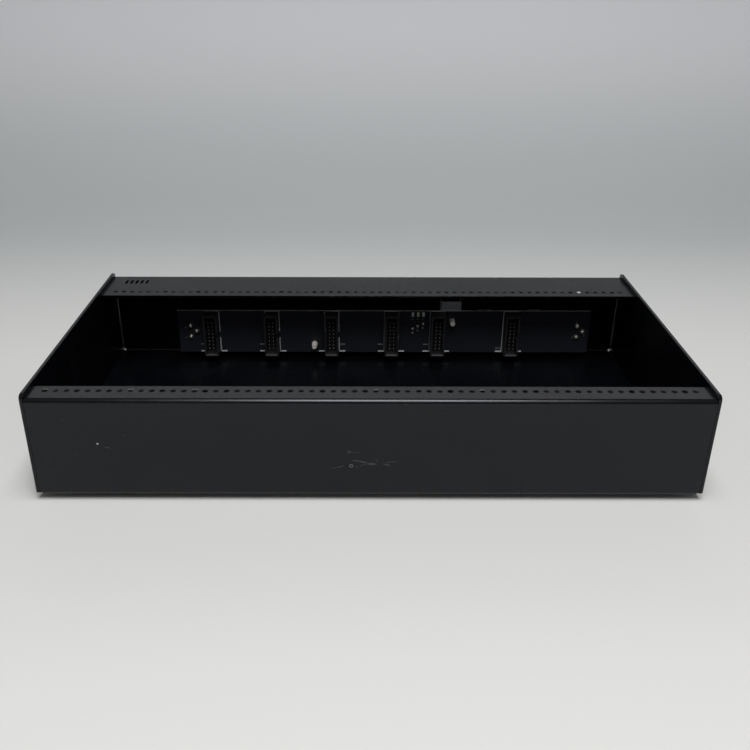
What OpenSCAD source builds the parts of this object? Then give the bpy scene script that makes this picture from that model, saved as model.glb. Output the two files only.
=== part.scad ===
// Case for a modular synthesizer: one folded sheet, open at the top, with two rows of tapped holes
// that modules screw down to, and a power board that stands behind the bay on two panel jacks.
// Millimetres, +Z up, the front faces -Y, the origin is at the bottom centre of the whole part.

/* [Case] */
// Width of the module bay, counted in rack units
rack_units = 64; // [56:1:104]
// Width of one rack unit, and the pitch of the module holes
unit_w = 5.08; // [4.8:0.01:5.4]
// Distance between the front and the rear row of module holes
row_spacing = 122.5; // [110:0.5:140]
// Front face to the front row of holes
front_margin = 8.9; // [8:0.1:15]
// Rear row of holes to the rear face
rear_margin = 27; // [20:0.5:40]
// Underside of the floor to the top of the side walls
body_h = 56.3; // [50:0.1:90]
// Height of the side walls above the two flanges
side_rise = 2.3; // [1:0.1:6]

/* [Sheet] */
// Thickness of the folded sheet
sheet_t = 1.5; // [1:0.1:2]
// Inside radius of every fold
fold_r = 0.8; // [0.4:0.1:2]
// Open seam between an end wall and a side wall
seam = 0.2; // [0.05:0.05:0.5]
// Underside of the floor to the lower ends of the side walls, at the corners
notch_h = 1.6; // [1.5:0.1:4]
// Round relief in the end walls beyond the meeting folds
relief_clear = 0.1; // [0.05:0.05:1]
// Radius of the top corners of the side walls
corner_r = 2.5; // [1:0.5:6]
// Front row of holes to the edge of the front flange
front_lip = 4.5; // [3:0.5:8]
// Edge of the rear flange to the rear row of holes
rear_lip = 6; // [3:0.5:8]
// Radius of a tapped module hole
hole_r = 1.25; // [1:0.05:1.7]

/* [Vent slots] */
// Number of slots at the left end of the rear flange
vent_count = 5; // [3:1:9]
// Width of a slot
vent_w = 1.6; // [1:0.1:2.4]
// Length of a slot
vent_l = 6; // [4:0.5:12]
// Bar between two slots
vent_bar = 1.6; // [1:0.1:4]
// Inside of the left wall to the middle of the first slot
vent_inset = 10.4; // [8:0.1:20]
// Rear face to the middle of the slots
vent_from_rear = 11; // [9:0.5:14]

/* [Feet] */
// Height of a foot
foot_h = 3; // [1.5:0.1:6]
// Radius of a foot
foot_r = 5; // [4:0.5:9]
// Radius of a foot's lower edge
foot_edge = 0.8; // [0.4:0.1:1.2]
// Side, front and rear faces to the edge of a foot
foot_margin = 10; // [6:1:40]

/* [Power board] */
// Thickness of the board
board_t = 1.6; // [1:0.1:2.4]
// Board's edge above the headers
board_over = 0.2; // [0.1:0.1:6]
// Board's edge below the headers
board_under = 1.3; // [0.5:0.1:6]
// Space between the board and the rear wall
board_gap = 9.4; // [9:0.1:16]
// Space between the board and the floor
board_lift = 4; // [2:0.1:8]
// Inside of the left wall to the board
board_left = 40.5; // [20:0.5:50]
// Board to the inside of the right wall
board_right = 19.2; // [10:0.2:30]

/* [Headers] */
// Places of the six headers, as shares of the board's length
header_at = [0.083, 0.228, 0.373, 0.518, 0.629, 0.807]; // [0:0.001:1]
// Number of pin pairs in a header
pin_pairs = 8; // [5:1:10]
// Pitch of the pins
pin_pitch = 2.54; // [2:0.01:3]
// Width of a square pin
pin_w = 0.64; // [0.4:0.02:0.8]
// Rim of a shroud to the tips of its pins
pin_recess = 1.1; // [0.2:0.1:3]
// Length of a pin's tail behind the board
pin_tail = 1.4; // [0.8:0.1:2.4]
// Free space round a pin
pin_fit = 0.05; // [0.02:0.01:0.1]
// Depth of a shroud, from the board to its rim
shroud_d = 9.1; // [8:0.1:12]
// Wall of a shroud
shroud_wall = 1.1; // [0.8:0.1:1.5]
// Floor of a shroud
shroud_floor = 2.5; // [1.5:0.1:3.5]
// Outer face of a shroud beyond its pins, at the two ends
shroud_end = 5; // [3:0.1:6]
// Outer face of a shroud beyond its pins, at the two sides
shroud_side = 3.1; // [2.5:0.1:4]
// Width of the key slot in a shroud's side
key_w = 4.5; // [3:0.1:6]
// Chamfer round a shroud's mouth
mouth_flare = 0.3; // [0.2:0.1:0.7]

/* [Panel jacks] */
// Board's end to the axis of a jack
jack_edge = 8; // [7:0.5:12]
// Wall of the threaded barrel round the socket
barrel_wall = 2.2; // [1.5:0.1:3]
// Free space round the barrel in the wall and the nut
jack_fit = 0.1; // [0.05:0.05:0.3]
// Width of the shoulder behind the wall
jack_shoulder = 1.1; // [0.8:0.1:1.5]
// Radius of the socket
socket_r = 3.2; // [2.8:0.1:4]
// Depth of the socket
socket_depth = 9.5; // [8:0.5:11]
// Radius of the contact pin in the socket
contact_r = 1.05; // [0.8:0.05:1.25]
// Mouth of the socket to the tip of the contact pin
contact_recess = 1; // [0.5:0.1:2]
// Axis of a jack to each of its three lugs
lug_ring = 3.8; // [3:0.1:5]
// Width of a lug
lug_w = 1.8; // [1.2:0.1:2]
// Thickness of a lug
lug_t = 0.5; // [0.3:0.1:0.8]
// Length of a lug in front of the board
lug_front = 1.6; // [1:0.1:3]
// Thickness of the nut
nut_t = 2.4; // [2:0.1:4]
// Flats of the nut beyond its thread
nut_rim = 1.6; // [1.2:0.1:3]
// End of the barrel beyond the nut
jack_proud = 1.6; // [0.5:0.1:3]

/* [Nylon fixings] */
// Radius of a fixing where it goes through the board
neck_r = 1.5; // [1:0.1:1.8]
// Free space round a neck
neck_fit = 0.1; // [0.05:0.05:0.2]
// Barbed tip beyond the edge of its hole
barb = 0.4; // [0.3:0.05:1]
// Length of the barbed tip
tip_l = 4.8; // [3:0.1:6]
// Radius of the post between wall and board
post_r = 3; // [2.5:0.1:4]
// Foot of the post beyond the post
post_flare = 1.5; // [0.5:0.1:3]
// Thickness of the post's foot
post_foot_t = 1.5; // [1:0.1:2.5]
// Third header to the post, sideways
post_side = 11.3; // [9:0.1:13]
// Middle of the board to the post, downwards
post_drop = 9.2; // [6:0.1:10]
// Head of the rivet beyond its neck
rivet_rim = 1.5; // [1:0.1:2]
// Thickness of the rivet's head
rivet_head_t = 1.2; // [0.8:0.1:2]
// Middle of the board to the rivet, upwards
rivet_up = 7.2; // [6.5:0.1:10]

/* [Heat sink and regulator] */
// Pins of the fifth header to the heat sink, sideways
sink_gap = 0.6; // [0.6:0.1:4]
// Thickness of the heat sink
sink_t = 0.9; // [0.6:0.1:1.5]
// Inside radius of the heat sink's folds
sink_fold_r = 0.2; // [0.2:0.1:1]
// Top of the heat sink above the board
sink_rise = 5.9; // [2:0.1:8]
// Fins of the heat sink to the rear wall
sink_clear = 1.4; // [0.8:0.1:3]
// Heat sink beyond the regulator's lower end
sink_under = 0.5; // [0.2:0.1:1.5]
// Middle of the heat sink to the middle of the regulator, sideways
reg_shift = 0.6; // [0:0.1:1.5]
// Width of the regulator
reg_w = 10; // [9:0.1:11]
// Thickness of the regulator's tab
tab_t = 1.3; // [1:0.1:1.6]
// Rivet to the upper end of the tab
tab_above = 2.8; // [2.5:0.1:4]
// Head of the rivet to the regulator's body
head_clear = 0.7; // [0.3:0.1:2]
// Height of the regulator's body
reg_h = 9.2; // [8:0.1:10]
// Thickness of the regulator's body, with its tab
reg_t = 4.4; // [3.5:0.1:5]
// Width of a regulator lead
lead_w = 0.8; // [0.5:0.1:1]
// Thickness of a regulator lead
lead_t = 0.5; // [0.3:0.1:0.7]
// Regulator's body to the bend of its leads
lead_drop = 2.5; // [1.5:0.1:3]
// Length of a regulator lead's foot on the board
lead_foot = 2; // [1:0.1:3]
// Free space round a soldered lead in the board
lead_fit = 0.1; // [0.05:0.05:0.2]

/* [Board parts] */
// Side of a square inductor
inductor_w = 12; // [10:0.1:12.5]
// Height of an inductor over the board
inductor_t = 5; // [4:0.1:7.4]
// Corner radius of an inductor
inductor_corner_r = 2.5; // [1:0.1:4]
// Top edge of the board to the top of an inductor
inductor_drop = 1.6; // [0.5:0.1:4]
// Space between the pins, chips and inductors round the sixth header
part_gap = 1.2; // [0.6:0.1:2]
// Radius of an inductor's round core
core_r = 4.2; // [3:0.1:4.5]
// Width and depth of the gap round the core
core_gap = 0.5; // [0.3:0.1:0.8]
// Radius of a capacitor
cap_r = 5; // [4:0.1:5.5]
// Height of a capacitor over the board
cap_t = 7.2; // [5:0.1:7.4]
// Depth of the groove round a capacitor
cap_groove = 0.4; // [0.2:0.1:0.8]
// Middle of the board to the middle of a capacitor, upwards
cap_up = 6; // [4:0.1:8]
// Radius of a resettable fuse
fuse_r = 3; // [2.5:0.1:3.2]
// Thickness of a fuse
fuse_t = 2.4; // [1.6:0.1:2.8]
// Space between a fuse and the board
fuse_lift = 0.8; // [0.5:0.1:1]
// Distance between a fuse's two leads
fuse_leads = 3; // [2.4:0.1:4]
// Radius of a fuse's leads
fuse_lead_r = 0.3; // [0.2:0.05:0.4]
// Length of a fuse's leads in front of the board
fuse_lead_front = 0.9; // [0.5:0.1:1.5]
// Step up from one fuse to the next
fuse_step = 1.7; // [0:0.1:2]
// Space between two fuses
fuse_gap = 1; // [0.4:0.1:2]
// Lamps and fuses to the right of the middle between two headers
lamp_shift = 2.3; // [0:0.1:2.5]
// Top edge of the board to the middle of the lamps
lamp_drop = 2.2; // [2:0.1:5]
// Width, length and height of a lamp
lamp_size = [1.6, 3, 1.1]; // [0.5:0.1:4]
// Width, length and height of a chip's body
chip_size = [3.8, 4.9, 1.7]; // [1:0.1:6]
// Chip's leads beyond its body
chip_lead = 1; // [0.5:0.1:1.5]
// Width and thickness of a chip's lead
chip_lead_w = 0.4; // [0.2:0.1:0.6]

/* [Hidden] */
$fn = 48;
// How far a cut runs past the face that it opens
over = 1;
header_count = len(header_at);
last_header = header_count - 1;

// Case
inner_w = rack_units * unit_w;
case_w = inner_w + 2 * sheet_t;
case_d = front_margin + row_spacing + rear_margin;
jack_out = nut_t + jack_proud;
front_y = -(case_d + jack_out) / 2;
rear_y = front_y + case_d;
wall_y = rear_y - sheet_t;
front_row_y = front_y + front_margin;
rear_row_y = front_row_y + row_spacing;
front_lip_y = front_row_y + front_lip;
rear_lip_y = rear_row_y - rear_lip;
floor_z = foot_h;
floor_top = floor_z + sheet_t;
wall_top = floor_z + body_h;
flange_top = wall_top - side_rise;
fold_out_r = fold_r + sheet_t;
fold_end = floor_z + fold_out_r;
relief_r = fold_out_r / sqrt(2) + relief_clear;
end_half = inner_w / 2 - seam;
floor_half = end_half - fold_r;
notch_top = floor_z + notch_h;
hole_count = rack_units - 2;
vent_pitch = vent_w + vent_bar;
foot_inset = foot_margin + foot_r;

// Power board
shroud_l = (pin_pairs - 1) * pin_pitch + 2 * shroud_end;
shroud_w = pin_pitch + 2 * shroud_side;
board_x0 = board_left - inner_w / 2;
board_x1 = inner_w / 2 - board_right;
board_l = board_x1 - board_x0;
board_h = board_under + shroud_l + board_over;
board_back = wall_y - board_gap;
board_front = board_back - board_t;
board_z0 = floor_top + board_lift;
board_z = board_z0 + board_under + shroud_l / 2;
board_top = board_z0 + board_h;
jack_x = [board_x0 + jack_edge, board_x1 - jack_edge];
pin_front = shroud_d - pin_recess;
pin_edge = (pin_pitch + pin_w) / 2;
jack_r = socket_r + barrel_wall;
jack_base_r = jack_r + jack_shoulder;
lug_hole_r = norm([lug_w, lug_t]) / 2 + lead_fit;
pin_hole_r = pin_w / sqrt(2) + pin_fit;
fuse_hole_r = fuse_lead_r + lead_fit;
neck_hole_r = neck_r + neck_fit;
tip_r = neck_hole_r + barb;

// Fixings, heat sink and regulator
post_x = header_x(2) - post_side;
post_z = board_z - post_drop;
sink_w = reg_w + 2 * (reg_shift + sink_t + sink_fold_r);
sink_x = header_x(4) + pin_edge + sink_gap + sink_w / 2;
reg_x = sink_x + reg_shift;
rivet_head_r = neck_r + rivet_rim;
rivet_z = board_z + rivet_up;
reg_y = board_back + sink_t;
reg_top = rivet_z - rivet_head_r - head_clear;
reg_bottom = reg_top - reg_h;
lead_z = reg_bottom - lead_drop;

// Board parts
lamp_pitch = fuse_t + fuse_gap;
lamp_x = (header_x(3) + header_x(4)) / 2 + lamp_shift;
chip_w = chip_size.x + 2 * chip_lead;
chip_side = pin_edge + part_gap + chip_w / 2;
inductor_side = chip_side + chip_w / 2 + part_gap + inductor_w / 2;
inductor_x = [for (side = [-1, 1]) header_x(last_header) + side * inductor_side];
inductor_z = board_top - inductor_drop - inductor_w / 2;

function header_x(i) = board_x0 + header_at[i] * board_l;
function pin_spots(i) = [
    for (side = [-0.5, 0.5], row = [0 : pin_pairs - 1])
        [header_x(i) + side * pin_pitch, board_z + (row - (pin_pairs - 1) / 2) * pin_pitch]
];
function lug_spots(x) = [[x, board_z + lug_ring], [x + lug_ring, board_z], [x, board_z - lug_ring]];
function fuse_spot(i) = [lamp_x + (i - 1) * lamp_pitch, board_z + i * fuse_step];
function fuse_lead_spots(i) = [
    for (side = [-0.5, 0.5])
        fuse_spot(i) + [0, side * fuse_leads]
];

// Rectangle from corner a to corner b with round corners
module rounded_rect(a, b, r) {
    translate([a.x + r, a.y])
        square([b.x - a.x - 2 * r, b.y - a.y]);
    translate([a.x, a.y + r])
        square([b.x - a.x, b.y - a.y - 2 * r]);
    for (x = [a.x + r, b.x - r], y = [a.y + r, b.y - r])
        translate([x, y])
            circle(r);
}

// Slot with round ends, its length along Y
module slot_outline(w, l) {
    straight = l - w;
    translate([-w / 2, -straight / 2])
        square([w, straight]);
    for (y = [-straight / 2, straight / 2])
        translate([0, y])
            circle(w / 2);
}

// Folded channel from corner a to corner b, open on its far side, with wall t and inside radius r
module channel_section(a, b, t, r) {
    intersection() {
        difference() {
            rounded_rect(a, [b.x, b.y + r + t], r + t);
            rounded_rect([a.x + t, a.y + t], [b.x - t, b.y + 2 * r + t], r);
        }
        translate(a)
            square([b.x - a.x, b.y - a.y]);
    }
}

// Runs a Y-Z section along X
module along_x(x0, x1) {
    translate([x0, 0, 0])
        rotate([90, 0, 90])
            linear_extrude(x1 - x0)
                children();
}

// Runs an X-Z section along Y
module along_y(y0, y1) {
    translate([0, y1, 0])
        rotate([90, 0, 0])
            linear_extrude(y1 - y0)
                children();
}

// Runs an X-Y section along Z
module along_z(z0, z1) {
    translate([0, 0, z0])
        linear_extrude(z1 - z0)
            children();
}

// Turns a section of radius and distance about an axis that runs to the rear
module turned_back(x, y, z) {
    translate([x, y, z])
        rotate([-90, 0, 0])
            rotate_extrude()
                children();
}

// Turns a section of radius and distance about an axis that runs to the front
module turned_front(x, y, z) {
    translate([x, y, z])
        rotate([90, 0, 0])
            rotate_extrude()
                children();
}

// Round rod or drill along Y
module rod_y(spot, r, y0, y1) {
    translate([spot.x, y0, spot.y])
        rotate([-90, 0, 0])
            cylinder(r = r, h = y1 - y0);
}

// Hexagon bar along Y
module rod_y_hex(spot, r, y0, y1) {
    translate([spot.x, y0, spot.y])
        rotate([-90, 0, 0])
            cylinder(r = r, h = y1 - y0, $fn = 6);
}

// Block centred sideways and upwards on a spot
module block_y(spot, w, h, y0, y1) {
    translate([spot.x - w / 2, y0, spot.y - h / 2])
        cube([w, y1 - y0, h]);
}

// Block that widens from its far face to its near face, all round by the same amount
module flared_block(spot, w, h, flare, y0, y1) {
    // Outline of one pair of opposite sides
    module taper(size) {
        polygon([[-size / 2 - flare, y0], [size / 2 + flare, y0], [size / 2, y1], [-size / 2, y1]]);
    }
    reach = 2 * (w + h);
    translate([spot.x, 0, spot.y])
        intersection() {
            linear_extrude(reach, center = true)
                taper(w);
            rotate([0, 90, 0])
                linear_extrude(reach, center = true)
                    taper(h);
        }
}

// Section of the sheet from the front lip, round the floor, to the rear lip
module wrap_section() {
    difference() {
        rounded_rect([front_y, floor_z], [rear_y, flange_top], fold_out_r);
        rounded_rect([front_y + sheet_t, floor_top], [wall_y, flange_top - sheet_t], fold_r);
        translate([front_lip_y, flange_top - 2 * sheet_t])
            square([rear_lip_y - front_lip_y, 2 * sheet_t + over]);
    }
}

// Side view of the side walls: their folds stop short of the end walls, their top corners are round
module side_outline() {
    translate([front_y, notch_top])
        square([case_d, wall_top - corner_r - notch_top]);
    translate([front_y + corner_r, notch_top])
        square([case_d - 2 * corner_r, wall_top - notch_top]);
    translate([front_y + fold_out_r, floor_z - over])
        square([case_d - 2 * fold_out_r, notch_top + over]);
    for (y = [front_y + corner_r, rear_y - corner_r])
        translate([y, wall_top - corner_r])
            circle(corner_r);
}

// Sheet round the floor, the end walls and the flanges, narrower between the folds of the side walls
module wrap() {
    difference() {
        union() {
            along_x(-floor_half, floor_half)
                wrap_section();
            along_x(-end_half, end_half)
                intersection() {
                    wrap_section();
                    translate([front_y - over, fold_end])
                        square([case_d + 2 * over, wall_top - fold_end]);
                }
        }
        corner_reliefs();
    }
}

// Floor with both side walls folded up from it
module side_walls() {
    intersection() {
        along_y(front_y - over, rear_y + over)
            channel_section([-case_w / 2, floor_z], [case_w / 2, wall_top + over], sheet_t, fold_r);
        along_x(-case_w / 2 - over, case_w / 2 + over)
            side_outline();
    }
}

// Two rows of tapped holes that modules are screwed to
module module_holes() {
    for (i = [0 : hole_count - 1], y = [front_row_y, rear_row_y])
        translate([(i - (hole_count - 1) / 2) * unit_w, y, flange_top - sheet_t - over])
            cylinder(r = hole_r, h = sheet_t + 2 * over);
}

// Row of slots through the rear flange
module vent_slots() {
    for (i = [0 : vent_count - 1])
        translate([vent_inset - inner_w / 2 + i * vent_pitch, rear_y - vent_from_rear, 0])
            along_z(flange_top - sheet_t - over, flange_top + over)
                slot_outline(vent_w, vent_l);
}

// Round reliefs in the lower corners of the end walls, where the folds meet
module corner_reliefs() {
    half = fold_out_r / 2;
    for (x = [half - case_w / 2, case_w / 2 - half]) {
        rod_y([x, floor_z + half], relief_r, front_y - over, front_y + fold_out_r);
        rod_y([x, floor_z + half], relief_r, rear_y - fold_out_r, rear_y + over);
    }
}

module chassis() {
    color("#26272a")
        difference() {
            union() {
                wrap();
                side_walls();
            }
            module_holes();
            vent_slots();
            for (x = jack_x)
                rod_y([x, board_z], jack_r + jack_fit, wall_y - over, rear_y + over);
        }
}

module power_board() {
    // Drills a hole through the board
    module drill(spot, r) {
        rod_y(spot, r, board_front - over, board_back + over);
    }
    color("#14151a")
        difference() {
            translate([board_x0, board_front, board_z0])
                cube([board_l, board_t, board_h]);
            for (i = [0 : last_header], spot = pin_spots(i))
                drill(spot, pin_hole_r);
            for (x = jack_x, spot = lug_spots(x))
                drill(spot, lug_hole_r);
            for (i = [0 : 2], spot = fuse_lead_spots(i))
                drill(spot, fuse_hole_r);
            drill([post_x, post_z], neck_hole_r);
            drill([reg_x, rivet_z], neck_hole_r);
        }
}

// Open box round a header's pins, with a key slot in its right side
module header_shroud(i) {
    middle = [header_x(i), board_z];
    rim_y = board_front - shroud_d;
    inside_y = board_front - shroud_floor;
    bay = [shroud_w - 2 * shroud_wall, shroud_l - 2 * shroud_wall];
    color("#1a1a1c")
        difference() {
            block_y(middle, shroud_w, shroud_l, rim_y, board_front);
            block_y(middle, bay.x, bay.y, rim_y - over, inside_y);
            flared_block(middle, bay.x, bay.y, mouth_flare, rim_y, rim_y + mouth_flare);
            block_y(middle + [shroud_w / 2, 0], 2 * shroud_wall + over, key_w, rim_y - over, inside_y);
            for (spot = pin_spots(i))
                block_y(spot, pin_w + 2 * pin_fit, pin_w + 2 * pin_fit, rim_y, board_front + over);
        }
}

// Square pin with a tapered point at both ends
module pin(spot) {
    y0 = board_front - pin_front;
    y1 = board_back + pin_tail;
    half = pin_w / 2;
    point = half / 2;
    outline = [
        [-half, y0 + pin_w], [-point, y0], [point, y0], [half, y0 + pin_w],
        [half, y1 - pin_w], [point, y1], [-point, y1], [-half, y1 - pin_w]
    ];
    translate([spot.x, 0, spot.y])
        intersection_for (turn = [0, 90])
            rotate([0, turn, 0])
                linear_extrude(pin_w, center = true)
                    polygon(outline);
}

module header_pins(i) {
    color("#c8a650")
        for (spot = pin_spots(i))
            pin(spot);
}

// Shoulder between board and wall, and a barrel that goes out through the wall
module jack(x) {
    barrel_end = board_gap + sheet_t + jack_out;
    color("#1b1b1d")
        turned_back(x, board_back, board_z)
            difference() {
                union() {
                    square([jack_base_r, board_gap]);
                    square([jack_r, barrel_end]);
                }
                translate([0, barrel_end - socket_depth])
                    square([socket_r, socket_depth + over]);
            }
}

// Contact pin in the socket, and three lugs that are soldered to the board
module jack_contacts(x) {
    mouth_y = rear_y + jack_out;
    color("#c4c6c8") {
        rod_y([x, board_z], contact_r, mouth_y - socket_depth, mouth_y - contact_recess);
        for (spot = lug_spots(x))
            block_y(spot, lug_w, lug_t, board_front - lug_front, board_back);
    }
}

// Hexagon nut with its outer corners chamfered
module jack_nut(x) {
    flat_r = jack_r + nut_rim;
    point_r = flat_r / cos(30);
    chamfer = point_r - flat_r;
    side_t = nut_t - chamfer / 2;
    color("#b4b6b8")
        difference() {
            intersection() {
                rod_y_hex([x, board_z], point_r, rear_y, rear_y + nut_t);
                turned_back(x, rear_y, board_z)
                    polygon([[0, 0], [point_r, 0], [point_r, side_t], [flat_r, nut_t], [0, nut_t]]);
            }
            rod_y([x, board_z], jack_r + jack_fit, rear_y - over, rear_y + nut_t + over);
        }
}

// Section of a barbed tip that starts at the board's front
module tip_section(start) {
    bevel = start + tip_r - neck_r;
    end = start + tip_l;
    polygon([[0, start], [tip_r, start], [tip_r, bevel], [neck_r, end], [0, end]]);
}

// Nylon post from the wall to the board, with a tip that snaps through the board
module board_post() {
    color("#e9e7e0")
        turned_front(post_x, wall_y, post_z)
            union() {
                square([post_r + post_flare, post_foot_t]);
                square([post_r, board_gap]);
                square([neck_r, board_gap + board_t]);
                tip_section(board_gap + board_t);
            }
}

// Nylon rivet that clamps regulator and heat sink to the board
module push_rivet() {
    stack = tab_t + sink_t + board_t;
    color("#e9e7e0")
        turned_front(reg_x, reg_y + tab_t, rivet_z)
            union() {
                translate([0, -rivet_head_t])
                    square([rivet_head_r, rivet_head_t]);
                square([neck_r, stack]);
                tip_section(stack);
            }
}

// Folded channel with its web on the board
module heat_sink() {
    half = sink_w / 2;
    fin_end = wall_y - sink_clear;
    color("#8b8e92")
        difference() {
            along_z(reg_bottom - sink_under, board_top + sink_rise)
                channel_section([sink_x - half, board_back], [sink_x + half, fin_end], sink_t, sink_fold_r);
            rod_y([reg_x, rivet_z], neck_hole_r, board_back - over, reg_y + over);
        }
}

// Tab, moulded body and three leads with feet on the board
module regulator() {
    lead_y = reg_y + tab_t;
    // Section of a lead: down from the body, over to the board and down again
    module lead_section() {
        translate([lead_y, lead_z])
            square([lead_t, lead_drop + lead_t]);
        translate([board_back, lead_z])
            square([lead_y - board_back + lead_t, lead_t]);
        translate([board_back, lead_z - lead_foot])
            square([lead_t, lead_foot + lead_t]);
    }
    color("#202123")
        difference() {
            union() {
                block_y([reg_x, (rivet_z + tab_above + reg_bottom) / 2], reg_w,
                        rivet_z + tab_above - reg_bottom, reg_y, reg_y + tab_t);
                block_y([reg_x, (reg_top + reg_bottom) / 2], reg_w, reg_h, reg_y, reg_y + reg_t);
                for (i = [-1 : 1])
                    along_x(reg_x + i * pin_pitch - lead_w / 2, reg_x + i * pin_pitch + lead_w / 2)
                        lead_section();
            }
            rod_y([reg_x, rivet_z], neck_hole_r, reg_y - over, reg_y + tab_t + over);
        }
}

// Square shield round a core, with a narrow gap between them
module inductor(x) {
    half = inductor_w / 2;
    color("#4b4e54")
        difference() {
            along_y(board_back, board_back + inductor_t)
                rounded_rect([x - half, inductor_z - half], [x + half, inductor_z + half], inductor_corner_r);
            turned_back(x, board_back, inductor_z)
                translate([core_r, inductor_t - core_gap])
                    square([core_gap, core_gap + over]);
        }
}

// Three round cans, one between each two of the first four headers
module rail_capacitors() {
    groove_at = cap_t / 4;
    color("#b8bbc0")
        for (i = [0 : 2])
            turned_back((header_x(i) + header_x(i + 1)) / 2, board_back, board_z + cap_up)
                polygon([
                    [0, 0], [cap_r, 0], [cap_r, groove_at - cap_groove], [cap_r - cap_groove, groove_at],
                    [cap_r, groove_at + cap_groove], [cap_r, cap_t - cap_groove],
                    [cap_r - cap_groove, cap_t], [0, cap_t]
                ]);
}

// Three discs on edge behind the board, each on two leads
module rail_fuses() {
    disc_y = board_back + fuse_lift + fuse_r;
    color("#c99a2e")
        for (i = [0 : 2]) {
            translate([fuse_spot(i).x, disc_y, fuse_spot(i).y])
                rotate([0, 90, 0])
                    cylinder(r = fuse_r, h = fuse_t, center = true);
            for (spot = fuse_lead_spots(i))
                rod_y(spot, fuse_lead_r, board_front - fuse_lead_front, disc_y);
        }
}

// Three surface-mounted lamps, each a carrier with a lens on it
module status_lamps() {
    carrier_t = lamp_size.z / 2;
    lens_l = lamp_size.y / 2;
    color("#dfe6dc")
        for (i = [-1 : 1]) {
            spot = [lamp_x + i * lamp_pitch, board_top - lamp_drop];
            block_y(spot, lamp_size.x, lamp_size.y, board_front - carrier_t, board_front);
            block_y(spot, lamp_size.x, lens_l, board_front - lamp_size.z, board_front);
        }
}

// Two chips with a row of leads along both sides
module converter_chips() {
    lead_pitch = chip_size.y / 4;
    lead_end = board_back + chip_lead_w;
    color("#1d1d20")
        for (side = [-1, 1]) {
            spot = [header_x(last_header) + side * chip_side, inductor_z];
            block_y(spot, chip_size.x, chip_size.y, board_back, board_back + chip_size.z);
            for (i = [-1.5 : 1.5])
                block_y(spot + [0, i * lead_pitch], chip_w, chip_lead_w, board_back, lead_end);
        }
}

// Low rubber disc with a round lower edge
module foot(i) {
    side = [for (x = [-1, 1], y = [-1, 1]) [x, y]][i];
    middle_y = (front_y + rear_y) / 2;
    color("#303032")
        translate([side.x * (case_w / 2 - foot_inset), middle_y + side.y * (case_d / 2 - foot_inset), 0])
            rotate_extrude()
                union() {
                    translate([0, foot_edge])
                        square([foot_r, foot_h - foot_edge]);
                    square([foot_r - foot_edge, foot_h]);
                    translate([foot_r - foot_edge, foot_edge])
                        circle(foot_edge);
                }
}

chassis();
power_board();
for (i = [0 : last_header]) {
    header_shroud(i);
    header_pins(i);
}
jack(jack_x[0]);  // jack_left
jack(jack_x[1]);  // jack_right
jack_contacts(jack_x[0]);  // jack_contacts_left
jack_contacts(jack_x[1]);  // jack_contacts_right
jack_nut(jack_x[0]);  // jack_nut_left
jack_nut(jack_x[1]);  // jack_nut_right
board_post();
push_rivet();
heat_sink();
regulator();
inductor(inductor_x[0]);  // inductor_left
inductor(inductor_x[1]);  // inductor_right
rail_capacitors();
rail_fuses();
status_lamps();
converter_chips();
for (i = [0 : 3])
    foot(i);
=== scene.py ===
import bpy
import math
import random
from mathutils import Euler, Matrix, Vector


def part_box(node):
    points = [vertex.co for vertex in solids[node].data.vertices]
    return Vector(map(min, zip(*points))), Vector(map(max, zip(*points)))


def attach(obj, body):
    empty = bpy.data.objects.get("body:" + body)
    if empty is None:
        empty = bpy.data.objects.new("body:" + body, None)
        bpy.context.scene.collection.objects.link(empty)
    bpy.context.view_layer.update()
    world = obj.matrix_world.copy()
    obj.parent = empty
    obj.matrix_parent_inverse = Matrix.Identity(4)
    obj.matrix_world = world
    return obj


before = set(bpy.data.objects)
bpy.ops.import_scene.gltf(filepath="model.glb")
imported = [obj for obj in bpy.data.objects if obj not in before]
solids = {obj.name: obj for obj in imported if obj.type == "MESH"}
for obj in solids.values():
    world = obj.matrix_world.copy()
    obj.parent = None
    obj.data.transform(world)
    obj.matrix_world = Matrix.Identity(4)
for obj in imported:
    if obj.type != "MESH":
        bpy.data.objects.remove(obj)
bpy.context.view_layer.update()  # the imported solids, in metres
mm = 0.001
toFront = (math.pi / 2, 0, 0)  # turns a form made along +Z to face the front
toRear = (-math.pi / 2, 0, 0)
print("frame:", len(solids), "solids")


# Small tools

def linearOf(hexText):  # sRGB hex to linear RGBA
    channels = [int(hexText[i:i + 2], 16) / 255 for i in (1, 3, 5)]
    return [c / 12.92 if c <= 0.04045 else ((c + 0.055) / 1.055) ** 2.4 for c in channels] + [1.0]


def addNode(tree, kind, settings, inputs):  # one node with its settings, values and links
    node = tree.nodes.new(kind)
    for name, value in settings.items():
        setattr(node, name, value)
    for name, value in inputs.items():
        if isinstance(value, bpy.types.NodeSocket):
            tree.links.new(value, node.inputs[name])
        else:
            node.inputs[name].default_value = value
    return node


def startMaterial(name):
    material = bpy.data.materials.new(name)
    material.use_nodes = True
    tree = material.node_tree
    tree.nodes.clear()
    coords = addNode(tree, "ShaderNodeTexCoord", {}, {}).outputs["Object"]
    return material, tree, coords


def endMaterial(tree, shaderInputs):
    shader = addNode(tree, "ShaderNodeBsdfPrincipled", {}, shaderInputs)
    addNode(tree, "ShaderNodeOutputMaterial", {}, {"Surface": shader.outputs["BSDF"]})


def perMetre(sizeMm):  # a texture's scale for features of this size
    return 1000 / sizeMm


def dress(names, material):  # gives CAD nodes their finish
    for name in names:
        slots = solids[name].data.materials
        slots.clear()
        slots.append(material)


def boxOf(name):  # a node's corners in millimetres
    low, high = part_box(name)
    return low / mm, high / mm


def onlySelect(pieces):
    bpy.ops.object.select_all(action="DESELECT")
    for piece in pieces:
        piece.select_set(True)
    bpy.context.view_layer.objects.active = pieces[0]


smoothAngle = math.radians(40)  # edges sharper than this stay sharp


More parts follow.
